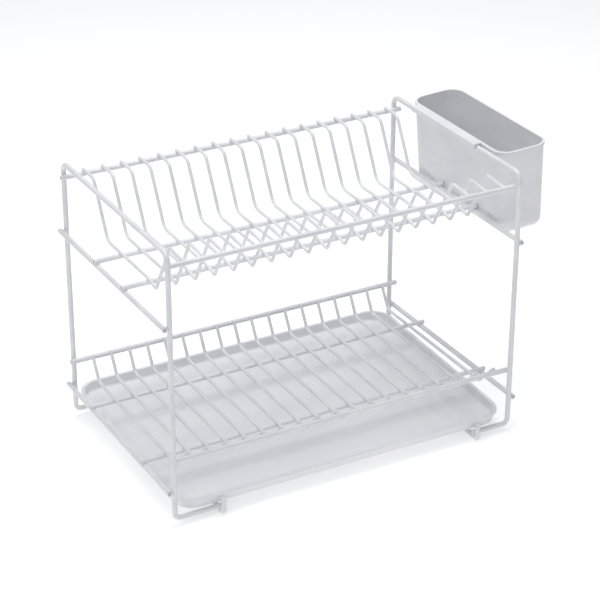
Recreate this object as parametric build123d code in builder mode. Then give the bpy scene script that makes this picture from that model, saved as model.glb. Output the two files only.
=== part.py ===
"""Two-tier wire dish drying rack with a drip tray and a hanging cutlery holder.

Millimetres, +Z up, +Y to the back. The rack stands on the plane z = 0, and the
origin is under the middle of the whole object's box.

Everything made of wire is spot welded. Two wires that cross are pressed into each
other by weld_set, so their centre lines lie lap(a, b) apart.
"""

import os
from math import cos, radians, sin, tan

from build123d import *

# ---------------------------------------------------------------- wire stock
frame_wire = 6.0  # uprights, rails and skids, coating included
floor_rail_wire = 4.9  # the two rails under the lower floor
grid_wire = 3.9  # plate wires and floor wires
weld_set = 0.2  # how far crossing wires are pressed into each other
end_round = 0.7  # rounding of the coating on a cut wire end

# ---------------------------------------------------------------- frame
frame_width = 430.0  # between the two side frames, centre to centre
frame_depth = 270.0  # between front and back uprights, centre to centre
frame_height = 316.0  # from the foot bars up to the top bars
top_bend = 11.0  # bend radius where an upright turns into the top bar
foot_bend = 7.0  # bend radius where an upright turns into its foot bar
rail_overhang = 6.0  # how far a rail runs past the back uprights or side frames
rail_front_overhang = 1.5  # how far a side rail runs past the front uprights
cross_overhang = 4.0  # how far a shelf rail runs past the side rail

# ---------------------------------------------------------------- skids
skid_inset_left = 56.0  # from the left side frame to its skid
skid_inset_right = 45.0
skid_bend = 4.0
foot_bar_past_skid = 3.0
stop_height = 12.5  # top of a tray stop above the foot bar's centre line

# ---------------------------------------------------------------- upper tier
upper_rail_drop = 84.5  # side rails below the top bars
top_back_rail_drop = 15.4
top_front_rail_drop = 16.7
shelf_rail_back_inset = 99.0  # ahead of the back uprights
shelf_rail_front_inset = 98.0  # behind the front uprights
wire_count = 18  # in each tier
plate_wire_inset_left = 22.0  # first plate wire from the left side frame
plate_wire_inset_right = 15.3  # last plate wire from the right side frame
plate_back_land = 27.0  # level run of a plate wire ahead of the top back rail
plate_heel_inset = 66.5  # back end of the trough's floor, ahead of the back uprights
plate_toe_inset = 78.0  # front end of the trough's floor, behind the front uprights
plate_crest_inset = 42.0  # top of the front rise, behind the front uprights
plate_crest_rise = 2.0  # crest above the top front rail's centre line
plate_back_bend = 10.0
plate_heel_bend = 16.0
plate_dip_bend = 20.0
plate_toe_bend = 4.0
plate_crest_bend = 5.0
plate_wire_tip = 1.5  # how far a plate wire runs past the top back rail's centre line
plate_toe_dip = 4.0  # toe of the trough below its floor on the shelf rails

# ---------------------------------------------------------------- lower tier
lower_rail_height = 33.5  # side rails above the foot bars
basket_rim_height = 67.1
lip_rail_height = 67.9
floor_rail_back_inset = 67.6  # ahead of the back uprights
floor_rail_front_inset = 65.6  # behind the front uprights
floor_wire_inset_left = 20.5
floor_wire_inset_right = 16.8
fence_lean = 30.5  # lean of the fence from upright, degrees
lip_slope = 45.0  # slope of the front rise, degrees
floor_bend = 10.0
floor_wire_tip = 1.5

# ---------------------------------------------------------------- drip tray
tray_gap = 0.3  # air between the tray and the wires it sits on and against
tray_side_inset = 3.6  # rim edge inside each side frame's centre line
tray_back_overhang = 14.0  # rim edge behind the back uprights
tray_height = 13.0
tray_tilt = 2.0  # degrees, rising to the back so that it drains forwards
tray_wall = 2.0
tray_corner = 26.0
tray_draft = 8.0  # degrees
tray_foot_round = 3.0
tray_lip = 2.5  # width of the flat rim outside the wall
tray_lip_thickness = 1.8
tray_edge_round = 0.6
tray_heel_length = 24.0  # the two heels under the back that set the tilt
tray_heel_width = 5.5
tray_heel_inset = 28.0  # heel's middle from the side frame's centre line

# ---------------------------------------------------------------- cutlery holder
holder_width = 65.5  # outside the walls, at the rim
holder_length = 196.0
holder_height = 104.5
holder_back_inset = 29.5  # back wall ahead of the back uprights
holder_wall = 2.0
holder_corner = 18.0
holder_draft = 1.5  # degrees
holder_lean = 2.8  # degrees, foot pushed outwards by the shelf rails' ends
holder_foot_round = 10.0
holder_lip = 1.0  # how far the rim band stands proud of the walls
holder_lip_height = 3.5
holder_edge_round = 0.6
holder_gap = 0.8  # air between the holder and the shelf rails' ends
hook_gap = 0.3  # air between the hook and the top bar
hook_back_inset = 49.0  # hook's back edge ahead of the back uprights
hook_length = 135.0
hook_depth = 1.0  # lowest edge of the hook below the top bar's centre line
drain_hole = 5.0
drain_rows = 7
drain_pitch_x = 16.0
drain_pitch_y = 20.0


def lap(wire_a, wire_b):
    """Distance between the centre lines of two welded wires that cross."""
    return (wire_a + wire_b) / 2 - weld_set


# ---------------------------------------------------------------- derived heights
frame_lap = lap(frame_wire, frame_wire)
grid_lap = lap(frame_wire, grid_wire)
butt_lap = frame_wire / 2 - 2 * weld_set  # a wire's cut end from the centre of the rail it meets
skid_z = frame_wire / 2
foot_z = skid_z + frame_lap
top_z = foot_z + frame_height
upper_rail_z = top_z - upper_rail_drop
shelf_rail_z = upper_rail_z + frame_lap
plate_floor_z = shelf_rail_z + grid_lap
top_back_rail_z = top_z - top_back_rail_drop
top_front_rail_z = top_z - top_front_rail_drop
lower_rail_z = foot_z + lower_rail_height
floor_rail_z = lower_rail_z + lap(frame_wire, floor_rail_wire)
floor_z = floor_rail_z + lap(floor_rail_wire, grid_wire)
rim_z = foot_z + basket_rim_height
lip_z = foot_z + lip_rail_height
holder_rim_up = frame_wire / 2 + hook_gap + holder_wall  # rim above the top bar's centre line
tray_rest = frame_wire / 2 + tray_gap  # tray's underside above a foot bar's centre line

# ---------------------------------------------------------------- derived places
cross_reach = frame_width / 2 + frame_lap + cross_overhang
lean = radians(holder_lean)
rail_down = top_z - shelf_rail_z - frame_wire / 2  # shelf rails' tops below the top bar
holder_run = rail_down * sin(lean) + (holder_rim_up + rail_down) * tan(radians(holder_draft))
holder_inner = cross_reach - frame_width / 2 + holder_gap - holder_run  # wall from the top bar
holder_foot_down = (holder_height - holder_rim_up) * sin(lean)
holder_foot_run = holder_height * tan(radians(holder_draft))
holder_rim_out = (holder_inner + holder_width + holder_lip) * cos(lean)
holder_foot_out = (holder_inner + holder_width - holder_foot_run) * cos(lean) + holder_foot_down
holder_reach = frame_width / 2 + max(holder_rim_out, holder_foot_out)
tray_back_edge = frame_depth + tray_back_overhang
tray_lip_under = tray_rest + tray_height - tray_lip_thickness
tray_run = tray_back_edge * cos(radians(tray_tilt)) - tray_lip_under * sin(radians(tray_tilt))
front_reach = frame_depth / 2 + frame_lap + frame_wire / 2
back_reach = max(frame_depth / 2 + rail_overhang, tray_run - frame_depth / 2)

middle_x = (cross_reach - holder_reach) / 2
middle_y = (front_reach - back_reach) / 2
left = middle_x - frame_width / 2
right = middle_x + frame_width / 2
front = middle_y - frame_depth / 2
back = middle_y + frame_depth / 2
back_rail_y = back - frame_lap
front_rail_y = front + frame_lap

os.makedirs("parts", exist_ok=True)


def save(builder, name):
    builder.part.label = name
    export_step(builder.part, f"parts/{name}.step")


def moulded_block(rim, length, depth, height, corner, draft, foot_round):
    """A round-cornered block that narrows downwards from its rim plane, as moulded."""
    with BuildPart() as block:
        with BuildSketch(rim):
            RectangleRounded(length, depth, corner)
        extrude(amount=-height, taper=draft)
        fillet(block.faces().sort_by(Axis.Z)[0].edges(), foot_round)
    return block.part


def straight_wire(name, start, end, diameter):
    """A straight cut length of wire between two points."""
    run = Vector(*end) - Vector(*start)
    with BuildPart() as wire:
        with BuildSketch(Plane(origin=start, z_dir=run)):
            Circle(diameter / 2)
        extrude(amount=run.length)
        fillet(wire.edges().filter_by(GeomType.CIRCLE), end_round)
    save(wire, name)


def bent_wire(name, points, radii, diameter):
    """A wire bent at each inner point of its route to the radius given for it."""
    with BuildPart() as wire:
        with BuildLine() as route:
            FilletPolyline(*points, radius=radii)
        with BuildSketch(Plane(origin=route.line @ 0, z_dir=route.line % 0)):
            Circle(diameter / 2)
        sweep()
        ends = wire.faces().filter_by(GeomType.PLANE)
        fillet(ends.edges(), end_round)
    save(wire, name)


# ---------------------------------------------------------------- side frames
def side_frame(name, x, inward, skid_inset):
    """One wire: foot bar, front upright, top bar, back upright, foot bar."""
    tip = x + inward * (skid_inset + foot_bar_past_skid)
    points = [
        (tip, front, foot_z),
        (x, front, foot_z),
        (x, front, top_z),
        (x, back, top_z),
        (x, back, foot_z),
        (tip, back, foot_z),
    ]
    bent_wire(name, points, [foot_bend, top_bend, top_bend, foot_bend], frame_wire)


side_frame("left_side_frame", left, 1, skid_inset_left)
side_frame("right_side_frame", right, -1, skid_inset_right)


# ---------------------------------------------------------------- skids
def skid(name, x):
    """The wire under both foot bars, turned up at the front as a tray stop."""
    stop_y = front - frame_lap
    points = [
        (x, stop_y, foot_z + stop_height),
        (x, stop_y, skid_z),
        (x, back + rail_overhang, skid_z),
    ]
    bent_wire(name, points, [skid_bend], frame_wire)


skid("left_skid", left + skid_inset_left)
skid("right_skid", right - skid_inset_right)


# ---------------------------------------------------------------- side rails
for side, x in (("left", left - frame_lap), ("right", right + frame_lap)):
    for tier, z in (("upper", upper_rail_z), ("lower", lower_rail_z)):
        start = (x, front - rail_front_overhang, z)
        end = (x, back + rail_overhang, z)
        straight_wire(f"{tier}_side_rail_{side}", start, end, frame_wire)


# ---------------------------------------------------------------- cross rails
def cross_rail(name, y, z, reach, diameter=frame_wire):
    start = (middle_x - reach, y, z)
    end = (middle_x + reach, y, z)
    straight_wire(name, start, end, diameter)


half_width = frame_width / 2
cross_rail("top_back_rail", back_rail_y, top_back_rail_z, half_width + rail_overhang)
cross_rail("top_front_rail", front_rail_y, top_front_rail_z, half_width)
cross_rail("shelf_rail_back", back - shelf_rail_back_inset, shelf_rail_z, cross_reach)
cross_rail("shelf_rail_front", front + shelf_rail_front_inset, shelf_rail_z, cross_reach)
cross_rail("basket_back_rim", back_rail_y, rim_z, half_width + rail_overhang)
cross_rail("basket_front_rim", front_rail_y, lip_z, half_width)
floor_rail_back_y = back - floor_rail_back_inset
floor_rail_front_y = front + floor_rail_front_inset
cross_rail("floor_rail_back", floor_rail_back_y, floor_rail_z, cross_reach, floor_rail_wire)
cross_rail("floor_rail_front", floor_rail_front_y, floor_rail_z, cross_reach, floor_rail_wire)


# ---------------------------------------------------------------- plate wires
def plate_wire(name, x):
    """A trough in the wire's own plane, from the top back rail to the top front rail."""
    back_z = top_back_rail_z + grid_lap
    crest = Vector(x, front + plate_crest_inset, top_front_rail_z + plate_crest_rise)
    from_rail = (crest - Vector(x, front_rail_y, top_front_rail_z)).normalized()
    front_end = Vector(x, front_rail_y, top_front_rail_z) + from_rail * butt_lap
    points = [
        (x, back_rail_y + plate_wire_tip, back_z),
        (x, back_rail_y - plate_back_land, back_z),
        (x, back - plate_heel_inset, plate_floor_z),
        (x, front + shelf_rail_front_inset, plate_floor_z),
        (x, front + plate_toe_inset, plate_floor_z - plate_toe_dip),
        crest,
        front_end,
    ]
    radii = [plate_back_bend, plate_heel_bend, plate_dip_bend, plate_toe_bend, plate_crest_bend]
    bent_wire(name, points, radii, grid_wire)


plate_wire_span = frame_width - plate_wire_inset_left - plate_wire_inset_right
plate_wire_pitch = plate_wire_span / (wire_count - 1)
for number in range(wire_count):
    x = left + plate_wire_inset_left + number * plate_wire_pitch
    plate_wire(f"plate_wire_{number + 1:02d}", x)


# ---------------------------------------------------------------- floor wires
def floor_wire(name, x):
    """Fence, floor and front rise in one wire, welded inside the two rims."""
    down = Vector(0, -1, 0).rotate(Axis.X, 90 - fence_lean)
    beside_rim = Vector(0, -1, 0).rotate(Axis.X, -fence_lean) * grid_lap
    rim_weld = Vector(x, back_rail_y, rim_z) + beside_rim
    heel = rim_weld + down * ((rim_weld.Z - floor_z) / -down.Z)
    rise = Vector(0, -1, 0).rotate(Axis.X, -lip_slope)
    beside_lip = Vector(0, 1, 0).rotate(Axis.X, 90 - lip_slope) * grid_lap
    lip_weld = Vector(x, front_rail_y, lip_z) + beside_lip
    toe = lip_weld - rise * ((lip_weld.Z - floor_z) / rise.Z)
    points = [rim_weld - down * floor_wire_tip, heel, toe, lip_weld + rise * floor_wire_tip]
    bent_wire(name, points, [floor_bend, floor_bend], grid_wire)


floor_wire_span = frame_width - floor_wire_inset_left - floor_wire_inset_right
floor_wire_pitch = floor_wire_span / (wire_count - 1)
for number in range(wire_count):
    x = left + floor_wire_inset_left + number * floor_wire_pitch
    floor_wire(f"floor_wire_{number + 1:02d}", x)


# ---------------------------------------------------------------- drip tray
def drip_tray():
    """A shallow moulded tray on the foot bars, behind the stops, raised at the back."""
    tilt = radians(tray_tilt)
    rim_up = tray_rest + tray_height
    front_edge = frame_wire / 2 + tray_gap - frame_lap + rim_up * sin(tilt)
    length = frame_width - 2 * tray_side_inset - 2 * tray_lip
    depth = tray_back_edge - front_edge - 2 * tray_lip
    normal = Vector(0, -sin(tilt), cos(tilt))
    uphill = Vector(0, cos(tilt), sin(tilt))
    bar_centre = Vector(middle_x, front, foot_z)
    rim_middle = bar_centre + uphill * (tray_back_edge + front_edge) / 2 + normal * rim_up
    rim = Plane(origin=rim_middle, x_dir=(1, 0, 0), z_dir=normal)
    outside = moulded_block(
        rim, length, depth, tray_height, tray_corner, tray_draft, tray_foot_round
    )
    inside = moulded_block(
        rim,
        length - 2 * tray_wall,
        depth - 2 * tray_wall,
        tray_height - tray_wall,
        tray_corner - tray_wall,
        tray_draft,
        tray_foot_round,
    )
    heel_height = frame_depth * tan(tilt) + tray_wall / 2
    with BuildPart() as tray:
        add(outside)
        with BuildSketch(rim):
            RectangleRounded(length + 2 * tray_lip, depth + 2 * tray_lip, tray_corner + tray_lip)
        extrude(amount=-tray_lip_thickness)
        with BuildSketch(Plane((middle_x, back, foot_z + tray_rest))):
            with GridLocations(frame_width - 2 * tray_heel_inset, 0, 2, 1):
                Rectangle(tray_heel_length, tray_heel_width)
        extrude(amount=heel_height)
        add(inside, mode=Mode.SUBTRACT)
        fillet(tray.faces().sort_by(Axis.Z)[-1].edges(), tray_edge_round)
    save(tray, "drip_tray")


drip_tray()


# ---------------------------------------------------------------- cutlery holder
def cutlery_holder():
    """A moulded pocket outside the right side frame, hooked over its top bar."""
    across = Vector(cos(lean), 0, sin(lean))
    upward = Vector(-sin(lean), 0, cos(lean))
    bar_centre = Vector(right, back - holder_back_inset - holder_length / 2, top_z)
    rim_centre = bar_centre + upward * holder_rim_up
    rim = Plane(
        origin=rim_centre + across * (holder_inner + holder_width / 2), x_dir=across, z_dir=upward
    )
    hook_plane = Plane(origin=rim_centre, x_dir=across, z_dir=upward)
    hook_left = -frame_wire / 2 - hook_gap - holder_wall
    hook_right = holder_inner + holder_wall
    hook_mid = holder_back_inset + holder_length / 2 - hook_back_inset - hook_length / 2
    outside = moulded_block(
        rim,
        holder_width,
        holder_length,
        holder_height,
        holder_corner,
        holder_draft,
        holder_foot_round,
    )
    inside = moulded_block(
        rim,
        holder_width - 2 * holder_wall,
        holder_length - 2 * holder_wall,
        holder_height - holder_wall,
        holder_corner - holder_wall,
        holder_draft,
        holder_foot_round - holder_wall,
    )
    with BuildPart() as holder:
        add(outside)
        with BuildSketch(rim):
            RectangleRounded(
                holder_width + 2 * holder_lip,
                holder_length + 2 * holder_lip,
                holder_corner + holder_lip,
            )
        extrude(amount=-holder_lip_height)
        with BuildSketch(hook_plane):
            with Locations(((hook_left + hook_right) / 2, hook_mid)):
                Rectangle(hook_right - hook_left, hook_length)
        extrude(amount=-holder_wall)
        with BuildSketch(hook_plane):
            with Locations((hook_left + holder_wall / 2, hook_mid)):
                Rectangle(holder_wall, hook_length)
        extrude(amount=-(holder_rim_up + hook_depth))
        add(inside, mode=Mode.SUBTRACT)
        fillet(holder.faces().sort_by(Axis.Z)[-1].edges(), holder_edge_round)
        with BuildSketch(rim.offset(-holder_height - holder_wall)):
            with GridLocations(drain_pitch_x, drain_pitch_y, 2, drain_rows):
                Circle(drain_hole / 2)
        extrude(amount=3 * holder_wall, mode=Mode.SUBTRACT)
    save(holder, "cutlery_holder")


cutlery_holder()
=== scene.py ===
"""The dish drying rack: coated wire frame, drip tray and hanging cutlery holder."""

from math import cos, radians, sin, tan

import bmesh
import bpy
from mathutils import Matrix, Quaternion, Vector


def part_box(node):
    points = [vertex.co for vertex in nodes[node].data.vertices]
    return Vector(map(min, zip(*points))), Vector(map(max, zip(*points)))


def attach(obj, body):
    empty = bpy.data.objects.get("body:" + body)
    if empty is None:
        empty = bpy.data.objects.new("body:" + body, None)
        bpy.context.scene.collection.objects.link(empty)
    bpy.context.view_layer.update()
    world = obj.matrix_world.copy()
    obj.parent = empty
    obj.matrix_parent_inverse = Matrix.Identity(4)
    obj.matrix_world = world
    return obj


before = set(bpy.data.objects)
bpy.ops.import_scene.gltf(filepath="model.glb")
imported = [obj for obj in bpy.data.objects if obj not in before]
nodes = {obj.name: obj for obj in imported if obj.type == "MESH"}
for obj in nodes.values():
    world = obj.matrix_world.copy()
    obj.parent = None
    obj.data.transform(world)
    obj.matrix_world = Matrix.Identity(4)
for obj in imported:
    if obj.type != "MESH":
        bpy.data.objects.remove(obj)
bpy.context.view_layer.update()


# ---------------------------------------------------------------- coated wire
# Steel wire, cut and bent, then dipped in white plastic. The coat is satin, a
# little thicker and rougher than paint, with a faint ripple from the dip. The
# cut ends are painted dark grey, as painted shade.
class Signal:
    """A shader socket that Python arithmetic works on; each step adds a Math node."""

    def __init__(self, finish, socket):
        self.finish = finish
        self.socket = socket

    def math(self, operation, first, second=0.0):
        settings = {"operation": operation}
        return self.finish.node("ShaderNodeMath", settings, {0: first, 1: second})

    def __add__(self, other):
        return self.math("ADD", self, other)

    def __radd__(self, other):
        return self.math("ADD", other, self)

    def __sub__(self, other):
        return self.math("SUBTRACT", self, other)

    def __rsub__(self, other):
        return self.math("SUBTRACT", other, self)

    def __mul__(self, other):
        return self.math("MULTIPLY", self, other)

    def __rmul__(self, other):
        return self.math("MULTIPLY", other, self)

    def __abs__(self):
        return self.math("ABSOLUTE", self)

    def between(self, low, high):
        """0 below low, 1 above high, and a smooth step from one to the other."""
        settings = {"interpolation_type": "SMOOTHSTEP"}
        sockets = {"Value": self, "From Min": low, "From Max": high}
        return self.finish.node("ShaderNodeMapRange", settings, sockets)


class Finish:
    """A material with one Principled shader, and the method that adds any other node."""

    def __init__(self, name, constants):
        self.material = bpy.data.materials.new(name)
        self.material.use_nodes = True
        self.tree = self.material.node_tree
        self.shader = self.tree.nodes["Principled BSDF"]
        self.feed(self.shader, constants)

    def feed(self, node, sockets):
        for key, value in sockets.items():
            if isinstance(value, Signal):
                self.tree.links.new(value.socket, node.inputs[key])
            else:
                node.inputs[key].default_value = value

    def node(self, kind, settings, sockets, output=0):
        made = self.tree.nodes.new(kind)
        for key, value in settings.items():
            setattr(made, key, value)
        self.feed(made, sockets)
        return Signal(self, made.outputs[output])

    def place(self):
        return self.node("ShaderNodeTexCoord", {}, {}, "Object")

    def axis(self, vector, letter):
        return self.node("ShaderNodeSeparateXYZ", {}, {0: vector}, letter)

    def grain(self, size, detail=2.0, stretch=(1.0, 1.0, 1.0)):
        """Noise from 0 to 1 whose lumps are about size metres across."""
        settings = {"operation": "MULTIPLY"}
        place = self.node("ShaderNodeVectorMath", settings, {0: self.place(), 1: stretch})
        sockets = {"Vector": place, "Scale": 1 / size, "Detail": detail, "Roughness": 0.5}
        return self.node("ShaderNodeTexNoise", {}, sockets)

    def blend(self, share, first, second):
        """The first colour where share is 0 and the second where it is 1."""
        settings = {"data_type": "RGBA"}
        return self.node("ShaderNodeMix", settings, {0: share, 6: first, 7: second}, 2)

    def relief(self, height, depth):
        """Surface relief as deep as depth metres where height runs from 0 to 1."""
        normal = self.node("ShaderNodeBump", {}, {"Height": height, "Distance": depth})
        self.feed(self.shader, {"Normal": normal})


coat_white = (0.80, 0.81, 0.825, 1.0)
coat_shade = (0.72, 0.735, 0.76, 1.0)
# Painted shade: a dark grey blended over the cut ends of the wires.
end_shade_grey = (0.42, 0.43, 0.45, 1.0)
end_shade_share = 0.8  # how much painted shade darkens a cut end
coat_patch = 0.03  # metres across a patch of thicker or thinner coat
coat_ripple = 0.006
coat_pebble = 0.0009
coat_relief = 0.00012


def wire_coat(name, end_axis=None):
    """White dipped coat with painted shade on the cut ends, which face along end_axis."""
    coat = Finish(name, {"Coat Weight": 0.25, "Coat Roughness": 0.18})
    ripple = coat.grain(coat_ripple)
    pebble = coat.grain(coat_pebble, 3.0)
    patch = coat.grain(coat_patch).between(0.3, 0.75)
    colour = coat.blend(patch, coat_white, coat_shade)
    if end_axis:
        # Painted shade: faces pointing along end_axis, the cut ends, are darkened towards
        # grey.
        facing = coat.node("ShaderNodeNewGeometry", {}, {}, "Normal")
        end = abs(coat.axis(facing, end_axis)).between(0.88, 0.97)
        colour = coat.blend(end * end_shade_share, colour, end_shade_grey)
    coat.relief(ripple * 0.7 + pebble * 0.3, coat_relief)
    roughness = 0.30 + ripple * 0.12 + pebble * 0.06
    coat.feed(coat.shader, {"Base Color": colour, "Roughness": roughness})
    return coat.material


def give(names, material):
    """Paints CAD pieces with one finish."""
    for name in names:
        slots = nodes[name].data.materials
        slots.clear()
        slots.append(material)


wire_nodes = [name for name in nodes if name not in ("drip_tray", "cutlery_holder")]
cross_rails = [
    "top_back_rail",
    "top_front_rail",
    "shelf_rail_back",
    "shelf_rail_front",
    "basket_back_rim",
    "basket_front_rim",
    "floor_rail_back",
    "floor_rail_front",
]
side_rails = [name for name in wire_nodes if "side_rail" in name]
bent_wires = [name for name in wire_nodes if name not in cross_rails + side_rails]
coated_wire = wire_coat("coated_wire")
give(bent_wires, coated_wire)
give(cross_rails, wire_coat("coated_cross_rail", "X"))
give(side_rails, wire_coat("coated_side_rail", "Y"))


# ---------------------------------------------------------------- weld beads
# The wires are spot welded where they cross before they are dipped. The plastic
# gathers round each weld, and leaves a small smooth web between the two wires.
bead_on_grid = (0.0022, 0.0011)  # spread along the wires, and rise between them
bead_on_frame = (0.0032, 0.0015)


def centre(name):
    low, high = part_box(name)
    return (low + high) / 2


def thickness(name):
    """The smallest side of a straight wire's box, which is its diameter."""
    low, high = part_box(name)
    return min(high - low)


def bead(mesh, at, across, size):
    """A flattened ball at a weld; across points from one wire to the other."""
    spread, rise = size
    turn = Vector((0, 0, 1)).rotation_difference(across).to_matrix().to_4x4()
    shape = Matrix.Translation(at) @ turn @ Matrix.Diagonal((spread, spread, rise, 1))
    bmesh.ops.create_uvsphere(mesh, u_segments=12, v_segments=7, radius=1, matrix=shape)


def finished(name, mesh, material):
    """Turns a bmesh into a smooth piece with its finish."""
    data = bpy.data.meshes.new(name)
    bmesh.ops.recalc_face_normals(mesh, faces=mesh.faces)
    for face in mesh.faces:
        face.smooth = True
    mesh.to_mesh(data)
    mesh.free()
    data.materials.append(material)
    piece = bpy.data.objects.new(name, data)
    bpy.context.scene.collection.objects.link(piece)
    return piece


def grid_beads(name, prefix, welds):
    """One bead for each wire of a row on each rail; welds gives the side it lies on."""
    mesh = bmesh.new()
    for wire in sorted(node for node in nodes if node.startswith(prefix)):
        for rail, side in welds.items():
            middle = centre(rail)
            at = Vector((centre(wire).x, middle.y, middle.z)) + side * thickness(rail) / 2
            bead(mesh, at, side, bead_on_grid)
    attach(finished(name, mesh, coated_wire), "rack")


up = Vector((0, 0, 1))
fence_lean = radians(30.5)  # of the floor wires' back ends, from upright
plate_end_slope = radians(3.2)  # of the plate wires' front ends, from level
plate_welds = {
    "top_back_rail": up,
    "shelf_rail_back": up,
    "shelf_rail_front": up,
    "top_front_rail": Vector((0, cos(plate_end_slope), sin(plate_end_slope))),
}
floor_welds = {
    "basket_back_rim": Vector((0, -cos(fence_lean), sin(fence_lean))),
    "floor_rail_back": up,
    "floor_rail_front": up,
    "basket_front_rim": Vector((0, 1, 1)).normalized(),
}
grid_beads("plate_wire_beads", "plate_wire", plate_welds)
grid_beads("floor_wire_beads", "floor_wire", floor_welds)

frame_beads = bmesh.new()
frame_wire = thickness("top_back_rail")
for side, outward in (("left", -1), ("right", 1)):
    low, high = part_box(f"{side}_side_frame")
    bar_x = (low.x if side == "left" else high.x) - outward * frame_wire / 2
    front_y = low.y + frame_wire / 2
    back_y = high.y - frame_wire / 2
    foot_z = low.z + frame_wire / 2
    for tier in ("upper", "lower"):
        rail = centre(f"{tier}_side_rail_{side}")
        sideways = Vector((outward, 0, 0))
        for y in (front_y, back_y):
            at = Vector((bar_x + outward * frame_wire / 2, y, rail.z))
            bead(frame_beads, at, sideways, bead_on_frame)
        for place in ("back", "front"):
            kind = "shelf" if tier == "upper" else "floor"
            cross = centre(f"{kind}_rail_{place}")
            at = Vector((rail.x, cross.y, rail.z + frame_wire / 2))
            bead(frame_beads, at, up, bead_on_frame)
    for name in ("top_back_rail", "basket_back_rim", "top_front_rail", "basket_front_rim"):
        rail = centre(name)
        inward = 1 if "front" in name else -1
        upright_y = front_y if inward == 1 else back_y
        at = Vector((bar_x, upright_y + inward * frame_wire / 2, rail.z))
        bead(frame_beads, at, Vector((0, inward, 0)), bead_on_frame)
    skid_x = centre(f"{side}_skid").x
    for y in (front_y, back_y):
        at = Vector((skid_x, y, foot_z - frame_wire / 2))
        bead(frame_beads, at, up, bead_on_frame)
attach(finished("frame_beads", frame_beads, coated_wire), "rack")


# ---------------------------------------------------------------- drip tray
# One moulding in pale lilac-grey plastic. The floor and walls have the fine
# sparked texture of the mould, the rim is polished smooth, and the floor shows
# faint flow marks and rubbed streaks along its length.
tray_grey = (0.835, 0.835, 0.865, 1.0)
tray_pale = (0.875, 0.872, 0.893, 1.0)
tray_slope = tan(radians(2.0))
rim_band = 0.0025  # height of the polished rim below its top edge
tray_flow = 0.09  # metres across a flow mark
tray_streak = 0.004
tray_spark = 0.0007
tray_relief = 0.0001


def tray_plastic():
    """Textured all over but on the rim, whose level follows the tray's slope."""
    low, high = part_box("drip_tray")
    plastic = Finish("tray_plastic", {"Coat Weight": 0.1, "Coat Roughness": 0.3})
    place = plastic.place()
    level = plastic.axis(place, "Z") - plastic.axis(place, "Y") * tray_slope
    rim_level = high.z - high.y * tray_slope
    rim = level.between(rim_level - 2 * rim_band, rim_level - rim_band)
    flow = plastic.grain(tray_flow, 3.0, (1.0, 2.5, 1.0)).between(0.35, 0.7)
    streaks = plastic.grain(tray_streak, 2.0, (0.08, 1.0, 1.0))
    spark = plastic.grain(tray_spark, 3.0)
    colour = plastic.blend(flow, tray_grey, tray_pale)
    smooth = 1.0 - rim
    roughness = 0.34 + smooth * (spark * 0.16 + streaks * 0.10)
    plastic.relief(smooth * (spark * 0.8 + streaks * 0.2), tray_relief)
    plastic.feed(plastic.shader, {"Base Color": colour, "Roughness": roughness})
    return plastic.material


give(["drip_tray"], tray_plastic())


# ---------------------------------------------------------------- cutlery holder
# A deep pocket moulded in the same pale grey, with a satin outside and a plain
# band round its rim. It hangs by the folded flange on its inner side, and leans
# on the ends of the shelf rails.
holder_grey = (0.775, 0.785, 0.81, 1.0)
holder_pale = (0.83, 0.83, 0.845, 1.0)
holder_flow = 0.05  # metres across a flow mark
holder_draw = 0.003
holder_satin = 0.0008
holder_relief = 0.00008


def holder_plastic():
    """Satin, with faint upright draw marks from the mould."""
    plastic = Finish("holder_plastic", {"Coat Weight": 0.15, "Coat Roughness": 0.25})
    flow = plastic.grain(holder_flow, 2.0, (1.0, 1.0, 2.2)).between(0.3, 0.7)
    draw = plastic.grain(holder_draw, 2.0, (1.0, 1.0, 0.06))
    satin = plastic.grain(holder_satin, 3.0)
    colour = plastic.blend(flow, holder_grey, holder_pale)
    plastic.relief(satin * 0.7 + draw * 0.3, holder_relief)
    roughness = 0.32 + satin * 0.12 + draw * 0.08
    plastic.feed(plastic.shader, {"Base Color": colour, "Roughness": roughness})
    return plastic.material


give(["cutlery_holder"], holder_plastic())


# ---------------------------------------------------------------- floor
# A matt white sheet that the rack stands on, far wider than the rack, and lit a
# little from below as a light table is.
floor_white = (0.93, 0.93, 0.93, 1.0)
floor_glow = 0.34
floor_roughness = 0.9
floor_reach = 6.0
floor_mesh = bmesh.new()
bmesh.ops.create_grid(floor_mesh, x_segments=1, y_segments=1, size=floor_reach)
floor_data = bpy.data.meshes.new("floor")
floor_mesh.to_mesh(floor_data)
floor_mesh.free()
floor = bpy.data.objects.new("floor", floor_data)
bpy.context.scene.collection.objects.link(floor)
floor_paper = {
    "Base Color": floor_white,
    "Roughness": floor_roughness,
    "Emission Color": floor_white,
    "Emission Strength": floor_glow,
}
floor_data.materials.append(Finish("floor", floor_paper).material)


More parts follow.
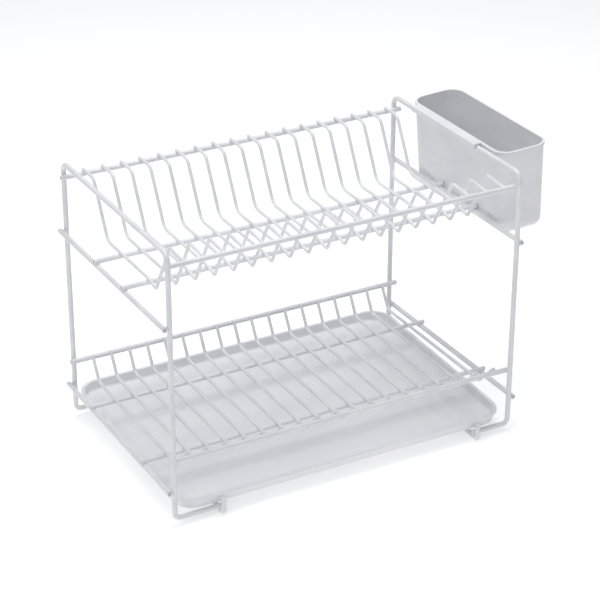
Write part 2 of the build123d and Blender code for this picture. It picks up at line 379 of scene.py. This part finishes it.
# ---------------------------------------------------------------- light
# A broad softbox overhead, a smaller one at the front left, a weak one on the left,
# and a white room that fills the shadows.
room_white = (0.95, 0.97, 1.0, 1.0)
room_strength = 0.33
rack_middle = Vector((0, 0, 0.16))


def softbox(name, place, side, power):
    """A square lamp of the given side in metres and power in watts, aimed at the rack."""
    data = bpy.data.lights.new(name, "AREA")
    data.shape = "SQUARE"
    data.size = side
    data.energy = power
    lamp = bpy.data.objects.new(name, data)
    lamp.location = place
    lamp.rotation_euler = (rack_middle - place).to_track_quat("-Z", "Y").to_euler()
    bpy.context.scene.collection.objects.link(lamp)


softbox("key_light", Vector((-0.9, -1.3, 2.0)), 1.0, 5.5)
softbox("top_light", Vector((0.1, 0.3, 2.2)), 1.5, 30.0)
softbox("fill_light", Vector((-1.8, -0.3, 1.4)), 0.9, 4.5)

room = bpy.data.worlds.new("room")
room.use_nodes = True
room_walls = room.node_tree.nodes["Background"]
room_walls.inputs["Color"].default_value = room_white
room_walls.inputs["Strength"].default_value = room_strength
bpy.context.scene.world = room
bpy.context.scene.view_settings.view_transform = "Standard"


# ---------------------------------------------------------------- camera
# A long lens from the front left, looking down on the rack. It is aimed from the
# lower front corner of the left side frame, so that it follows the rack.
camera_turn = radians(28.80)
camera_tilt = radians(26.88)
camera_roll = radians(0.14)
camera_range = 2.341
camera_sensor = 36.0
camera_lens = 123.0
aim_from_corner = Vector((0.2236, 0.1280, 0.1537))
left_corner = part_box("left_side_frame")[0] + Vector((1, 1, 1)) * frame_wire / 2
camera_aim = left_corner + aim_from_corner
sight = Vector(
    (
        sin(camera_turn) * cos(camera_tilt),
        cos(camera_turn) * cos(camera_tilt),
        -sin(camera_tilt),
    )
)
camera_data = bpy.data.cameras.new("camera")
camera_data.sensor_width = camera_sensor
camera_data.lens = camera_lens
camera = bpy.data.objects.new("camera", camera_data)
camera.location = camera_aim - sight * camera_range
level = sight.to_track_quat("-Z", "Y")
camera.rotation_euler = (level @ Quaternion((0, 0, 1), camera_roll)).to_euler()
bpy.context.scene.collection.objects.link(camera)
bpy.context.scene.camera = camera
